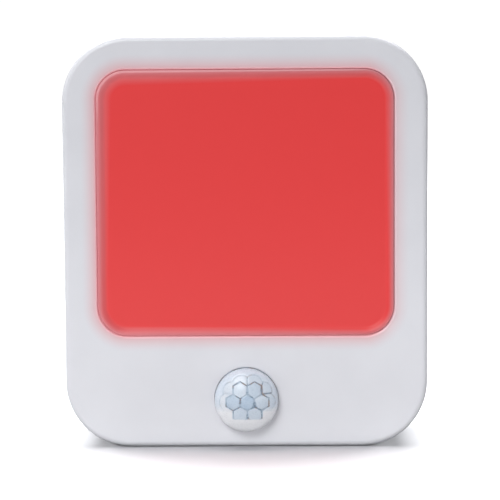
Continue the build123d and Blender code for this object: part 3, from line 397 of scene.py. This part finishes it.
def panel_rings():
    """Section of the panel from the middle of its front, out over the dish and the rim, and back to its rear."""
    half_w, half_h = WINDOW_W / 2 - PANEL_GAP, WINDOW_H / 2 - PANEL_GAP
    corner = WINDOW_R - PANEL_GAP
    rim_y, rear_y = panel_low.y, panel_high.y
    floor_y = rim_y + PANEL_DISH
    flange_y = rear_y - PANEL_FLANGE_T
    flange = -PANEL_FLANGE + PANEL_CLEARANCE

    def ring(inset, y):
        return rounded_ring(half_w - inset, half_h - inset, max(corner - inset, PANEL_SMALLEST_R), y)

    section = []
    dish_edge = PANEL_RIM + PANEL_DISH_RUN
    for share in (0.98, 0.8, 0.6, 0.4, 0.2, 0.08):
        inset = dish_edge + share * (half_h - dish_edge)
        radius = min(corner, half_h - inset) * 0.9
        section.append(rounded_ring(half_w - inset, half_h - inset, radius, floor_y))
    section.append(ring(dish_edge + 0.15 * MM, floor_y))
    dish_steps, rim_steps = 10, 6
    for step in range(dish_steps + 1):
        share = step / dish_steps
        rise = 0.5 - 0.5 * cos(pi * share)
        section.append(ring(dish_edge - share * PANEL_DISH_RUN, floor_y - rise * (PANEL_DISH - PANEL_CLEARANCE)))
    section.append(ring(PANEL_RIM_R, rim_y))
    for step in range(1, rim_steps + 1):
        angle = 0.5 * pi * step / rim_steps
        section.append(ring(PANEL_RIM_R * (1 - sin(angle)), rim_y + PANEL_RIM_R * (1 - cos(angle))))
    section.append(ring(0, flange_y - 0.05 * MM))
    section.append(ring(0.2 * MM - PANEL_FLANGE, flange_y))
    section.append(ring(flange, flange_y + 0.15 * MM))
    section.append(ring(flange, rear_y - PANEL_CLEARANCE))
    section.append(ring(PANEL_BACK_INSET, rear_y - PANEL_CLEARANCE))
    section.append(ring(PANEL_BACK_INSET + 0.1 * MM, floor_y + PANEL_THICKNESS))
    return section


panel = new_piece("lit_panel", *lofted(panel_rings()), lit_red(), "panel_red")
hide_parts("diffuser")

# ---------------------------------------------------------------- the lens


def lens_profile():
    """Radius, depth and outward slope along the outside of the dome, from the apex to the skirt."""
    reach = LENS_R - LENS_CORNER_R
    crown_r = (reach ** 2 + LENS_RISE ** 2 - LENS_CORNER_R ** 2) / (2 * (LENS_RISE - LENS_CORNER_R))
    lean = atan2(reach, crown_r - LENS_RISE)
    crown_y = LENS_APEX_Y + crown_r
    corner_y = LENS_APEX_Y + LENS_RISE
    points = []
    crown_steps, corner_steps = 78, 30
    for step in range(crown_steps + 1):
        angle = lean * step / crown_steps
        points.append((crown_r * sin(angle), crown_y - crown_r * cos(angle), angle))
    for step in range(1, corner_steps + 1):
        angle = lean + (0.5 * pi - lean) * step / corner_steps
        points.append((reach + LENS_CORNER_R * sin(angle), corner_y - LENS_CORNER_R * cos(angle), angle))
    return points


# Seven hexagons: the middle one, then anticlockwise from the right one. A tint of 0 is milky white, 1 is blue-grey;
# the tints are painted, and stand in for the dark sensor seen through the facets.
HEX_CORNER = HEX_PITCH / sqrt(3)
HEX_RING = [(0.0, 0.0)] + [(HEX_PITCH * cos(n * pi / 3), HEX_PITCH * sin(n * pi / 3)) for n in range(6)]
HEX_TINT = (1.0, 0.5, 0.68, 0.4, 0.8, 0.5, 0.46)
OUTER_TINT = 0.22
# How strong the scalloped line round the petals is.
RIM_LINE = 0.3
# Below these heights the pattern fades out into painted light from the floor, over the given fade.
LOWEST_HEX, HEX_FADE = -3.35 * MM, 0.35 * MM
LOWEST_PETAL, PETAL_FADE = -0.6 * MM, 1.6 * MM
# Places where a seam, its groove and its painted shade, is wide and dark: x, z, reach and how much wider.
WIDE_SEAM_SPOTS = (
    (1.5 * MM, -0.5 * MM, 0.9 * MM, 2.6),
    (0.0, -3.1 * MM, 0.9 * MM, 1.5),
    (2.9 * MM, -1.8 * MM, 0.9 * MM, 1.1),
    (0.0, 2.3 * MM, 1.1 * MM, 1.5),
    (2.9 * MM, 2.5 * MM, 1.2 * MM, 1.3),
    (-1.5 * MM, 0.0, 1.0 * MM, 1.0),
)


def held(value, low, high):
    """0 below low, 1 above high, and straight between."""
    return min(1.0, max(0.0, (value - low) / (high - low)))


def petal_seams():
    """The seams between petals, from outer corners of the hexagons to the petals' rim, right half then left."""
    corners = ((0.0, 2.0), (sqrt(3), 2.0), (sqrt(3), 1.0), (sqrt(3), -1.0), (sqrt(3), -2.0), (0.0, -2.0))
    end = PETAL_LINE_END * PETAL_R
    seams = []
    for n, (cx, cz) in enumerate(corners):
        angle = 0.5 * pi - n * tau / PETALS
        for side in (1, -1):
            seams.append(((side * cx * HEX_CORNER, cz * HEX_CORNER), (side * end * cos(angle), end * sin(angle))))
    return seams


PETAL_SEAMS = petal_seams()


def nearest_hexagon(x, z):
    """Number of the nearest hexagon, and how far the point is inside its edge, negative outside."""
    nearest = min(range(7), key=lambda n: hypot(x - HEX_RING[n][0], z - HEX_RING[n][1]))
    hx, hz = x - HEX_RING[nearest][0], z - HEX_RING[nearest][1]
    return nearest, HEX_PITCH / 2 - max(hx * cos(k * pi / 3) + hz * sin(k * pi / 3) for k in range(6))


def from_segment(x, z, start, end):
    dx, dz = end[0] - start[0], end[1] - start[1]
    share = held(((x - start[0]) * dx + (z - start[1]) * dz) / (dx * dx + dz * dz), 0.0, 1.0)
    return hypot(x - start[0] - share * dx, z - start[1] - share * dz)


def seam_width(x, z):
    wider = sum(more * max(0.0, 1.0 - hypot(x - sx, z - sz) / reach) for sx, sz, reach, more in WIDE_SEAM_SPOTS)
    return SEAM_W * (1.0 + wider)


def petal_tint(middle):
    """Painted light and shade: petals on the right are greyer, those at the upper left are nearly white."""
    return 0.26 + 0.13 * cos(middle - 0.15 * pi)


def petal_line(angle):
    """The lines between petals, grooves with painted shade, show best at the upper right and hardly at all at the
    upper left.
    """
    return 0.18 + 0.82 * held(cos(angle - 0.22 * pi), 0.35, 0.85)


def foot_gap_shade(angle):
    """Painted shade in the gap where the skirt meets the wall, from just above the right side over the top to the
    left.
    """
    return held(sin(angle - 0.02 * pi), 0.05, 0.25)


def facet_at(x, z):
    """The facet at a point of the dome: its painted tint, and how deep in a seam the point is, 0 to 1, which sets
    the groove and its painted shade.
    """
    angle, turn = atan2(z, x), tau / PETALS
    middle = 0.5 * pi + (((angle - 0.5 * pi) // turn) + 0.5) * turn
    lobe_r = PETAL_LOBE * PETAL_R * sin(turn / 2)
    lobe_c = PETAL_R - lobe_r
    rim = lobe_r - hypot(x - lobe_c * cos(middle), z - lobe_c * sin(middle))
    if hypot(x, z) < lobe_c:
        rim = lobe_r
    nearest, inside = nearest_hexagon(x, z)
    width = seam_width(x, z)

    def line(distance):
        return max(0.0, 1.0 - abs(distance) / width)

    if inside > 0:
        tint, groove = HEX_TINT[nearest], line(inside)
    elif rim < 0:
        tint, groove = OUTER_TINT, max(line(inside), RIM_LINE * line(rim))
    else:
        seam = min(from_segment(x, z, *ends) for ends in PETAL_SEAMS)
        tint, groove = petal_tint(middle), max(line(inside), petal_line(angle) * line(seam), RIM_LINE * line(rim))
    if inside > -SEAM_W:
        shown = held(z, LOWEST_HEX - HEX_FADE, LOWEST_HEX)
    else:
        shown = held(z, LOWEST_PETAL - PETAL_FADE, LOWEST_PETAL)
    return tint * shown, min(1.0, SEAM_FLATNESS * groove) * shown


def lens_tail():
    """Radius and depth from the skirt round the flange and back inside the dome."""
    flange_y = LENS_BACK_Y - LENS_FLANGE_T
    inner_r = LENS_R - LENS_WALL
    return [(LENS_R, FRONT_Y - ahead) for ahead in SKIRT_LINE_RINGS] + [
        (LENS_R, flange_y - LENS_CHAMFER),
        (LENS_R + LENS_CHAMFER, flange_y),
        (LENS_FLANGE_R - LENS_CHAMFER, flange_y),
        (LENS_FLANGE_R, flange_y + LENS_CHAMFER),
        (LENS_FLANGE_R, LENS_BACK_Y),
        (inner_r, LENS_BACK_Y),
        (inner_r, LENS_APEX_Y + LENS_RISE),
        (LENS_R - LENS_CORNER_R, LENS_APEX_Y + 0.45 * LENS_RISE),
        (0.3 * LENS_R, LENS_APEX_Y + LENS_WALL),
    ]


def lens_mesh():
    """Vertices and faces of the lens, with the painted tint and the seam depth, which also sets the painted seam
    shade, at each vertex.
    """
    turns = 420
    vertices = [Vector((LENS_X, LENS_APEX_Y, LENS_Z))]
    tints, seams = [1.0], [0.0]

    def add(radius, y, angle, tint, seam):
        vertices.append(Vector((LENS_X + radius * cos(angle), y, LENS_Z + radius * sin(angle))))
        tints.append(tint)
        seams.append(seam)

    angles = [tau * n / turns for n in range(turns)]
    profile, tail = lens_profile()[1:], lens_tail()
    for radius, y, lean in profile:
        for angle in angles:
            tint, groove = facet_at(radius * cos(angle) - PATTERN_SHIFT[0], radius * sin(angle) - PATTERN_SHIFT[1])
            sink = SEAM_DEPTH * groove
            add(radius - sink * sin(lean), y + sink * cos(lean), angle, tint, groove)
    for row, (radius, y) in enumerate(tail):
        for angle in angles:
            add(radius, y, angle, 0.0, foot_gap_shade(angle) if row else 0.0)
    after = [(n + 1) % turns for n in range(turns)]
    faces = [(0, 1 + after[n], 1 + n) for n in range(turns)]
    rows = len(profile) + len(tail)
    for row in range(rows - 1):
        a, b = 1 + row * turns, 1 + (row + 1) * turns
        faces.extend((a + n, a + after[n], b + after[n], b + n) for n in range(turns))
    faces.append(tuple(1 + (rows - 1) * turns + n for n in range(turns)))
    return vertices, faces, tints, seams


vertices, faces, tints, seams = lens_mesh()
lens = new_piece("faceted_lens", vertices, faces, lens_white(), "lens_white")
for attribute, values in (("facet", tints), ("seam", seams)):
    lens.data.attributes.new(attribute, "FLOAT", "POINT").data.foreach_set("value", values)
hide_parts("sensor_lens")

# ---------------------------------------------------------------- floor, light and camera


# The brightness at which the camera sees the far floor and the background: just past white.
WHITE_GROUND = 1.05


def floor_material():
    """Pale floor, evenly lit away from the object. It throws less light back at the object than the camera sees."""
    s = Shader("floor_white")
    x, y, _ = s.axes()
    away = s.math("SQRT", s.math("MULTIPLY_ADD", x, x, s.math("MULTIPLY", y, y)))
    seen = s.add("ShaderNodeLightPath").outputs["Is Camera Ray"]
    s.set(Base_Color=s.mix(seen, (0.34, 0.34, 0.34), (0.845, 0.852, 0.88)), Roughness=0.9, Specular_IOR_Level=0.1)
    glow = s.product(s.span(away, 0.20, 0.60), seen)
    s.set(Emission_Color=s.mix(glow, (0.0, 0.0, 0.0), (1.0, 1.0, 1.0)), Emission_Strength=WHITE_GROUND)
    return s.material


FLOOR_HALF = 3.0
floor_mesh = bpy.data.meshes.new("floor")
corners = ((-1, -1), (1, -1), (1, 1), (-1, 1))
floor_mesh.from_pydata([(sx * FLOOR_HALF, sy * FLOOR_HALF, FLOOR_Z) for sx, sy in corners], [], [(0, 1, 2, 3)])
floor_mesh.materials.append(floor_material())
floor = new_object("floor", floor_mesh)


def softbox(name, place, target, size, power, on_floor, on_object):
    """A soft rectangular light, width by height, that may be kept off the floor or off everything else."""
    light = bpy.data.lights.new(name, "AREA")
    light.shape = "RECTANGLE"
    light.size, light.size_y = size
    light.energy = power
    obj = new_object(name, light)
    obj.location = place
    obj.rotation_euler = (Vector(target) - Vector(place)).to_track_quat("-Z", "Y").to_euler()
    obj.visible_camera = False
    if not (on_floor and on_object):
        receivers = bpy.data.collections.new(name + "_receivers")
        receivers.objects.link(floor)
        receivers.collection_objects[0].light_linking.link_state = "INCLUDE" if on_floor else "EXCLUDE"
        obj.light_linking.receiver_collection = receivers


# The light from above reaches from straight over the front to well behind, so the floor in front is in soft
# shadow. The floor and the object have each their own, which keeps the ground white without burning out the
# object's top. Two lights from behind thin the shadow at the sides, and one in front thins it under the corners.
OVERHEAD = (-0.05, 0.25, FLOOR_Z + 0.60)
BELOW = (-0.05, 0.2501, FLOOR_Z)
MIDDLE = (0, -0.03, 0)
FOOT = (0, 0, FLOOR_Z)
FLOOR_LIGHTS = (
    ("floor_light", OVERHEAD, BELOW, (0.95, 0.60), 14.0),
    ("left_floor_light", (-0.28, 0.20, FLOOR_Z + 0.10), FOOT, (0.20, 0.10), 1.1),
    ("right_floor_light", (0.28, 0.20, FLOOR_Z + 0.10), FOOT, (0.20, 0.10), 1.1),
    ("front_light", (0.10, -0.60, 0.12), FOOT, (0.5, 0.20), 0.9),
)
# The key light is at the upper left, with a weak light at each side. Two low strips stand for the pale table top
# in front, the second for its very edge at the foot of the object.
OBJECT_LIGHTS = (
    ("top_light", OVERHEAD, BELOW, (0.9, 0.60), 8.0),
    ("key_light", (-0.32, -0.80, 0.60), MIDDLE, (0.50, 0.50), 7.3),
    ("left_light", (-0.50, 0.01, 0.05), (0, 0, 0), (0.30, 0.40), 0.30),
    ("right_light", (0.45, -0.42, 0.02), MIDDLE, (0.30, 0.40), 0.42),
    ("low_light", (0.0, -0.11, FLOOR_Z + 0.010), (0, -0.03, -0.03), (0.30, 0.02), 0.037),
    ("foot_light", (0.0, -0.037, FLOOR_Z + 0.0014), (0, -0.028, FLOOR_Z + 0.0010), (0.08, 0.002), 0.00072),
)
for entry in FLOOR_LIGHTS:
    softbox(*entry, on_floor=True, on_object=False)
for entry in OBJECT_LIGHTS:
    softbox(*entry, on_floor=False, on_object=True)

# The surroundings: white as the camera sees them, and a weak fill light that is stronger from the left.
FILL_FROM_LEFT, FILL_FROM_RIGHT = 0.40, 0.03
LEFT_END, RIGHT_END = -0.9, 0.4
world = bpy.data.worlds.new("studio")
bpy.context.scene.world = world
world.use_nodes = True
nodes, links = world.node_tree.nodes, world.node_tree.links
nodes.clear()
seen = nodes.new("ShaderNodeBackground")
seen.inputs["Color"].default_value = (1, 1, 1, 1)
seen.inputs["Strength"].default_value = WHITE_GROUND
fill = nodes.new("ShaderNodeBackground")
split = nodes.new("ShaderNodeSeparateXYZ")
links.new(nodes.new("ShaderNodeTexCoord").outputs["Generated"], split.inputs[0])
side = nodes.new("ShaderNodeMapRange")
side.interpolation_type = "SMOOTHSTEP"
for socket, value in zip(side.inputs[1:5], (LEFT_END, RIGHT_END, FILL_FROM_LEFT, FILL_FROM_RIGHT)):
    socket.default_value = value
links.new(split.outputs["X"], side.inputs["Value"])
links.new(side.outputs["Result"], fill.inputs["Strength"])
choose = nodes.new("ShaderNodeMixShader")
links.new(nodes.new("ShaderNodeLightPath").outputs["Is Camera Ray"], choose.inputs["Fac"])
links.new(fill.outputs[0], choose.inputs[1])
links.new(seen.outputs[0], choose.inputs[2])
links.new(choose.outputs[0], nodes.new("ShaderNodeOutputWorld").inputs["Surface"])

bpy.context.scene.view_settings.view_transform = "Standard"
bpy.context.scene.view_settings.look = "None"

CAMERA_PLACE = Vector((6.8, -456.1, 39.5)) * MM
CAMERA_TARGET = Vector((0.92, -28.0, -1.46)) * MM
CAMERA_ROLL = radians(-0.365)
FOCAL_LENGTH = 150.5
camera_data = bpy.data.cameras.new("camera")
camera_data.lens = FOCAL_LENGTH
camera_data.sensor_width = 36.0
camera_data.clip_start = 0.01
camera = new_object("camera", camera_data)
camera.location = CAMERA_PLACE
aim = (CAMERA_TARGET - CAMERA_PLACE).to_track_quat("-Z", "Y")
camera.rotation_euler = (aim.to_matrix() @ Matrix.Rotation(CAMERA_ROLL, 3, "Z")).to_euler()
bpy.context.scene.camera = camera
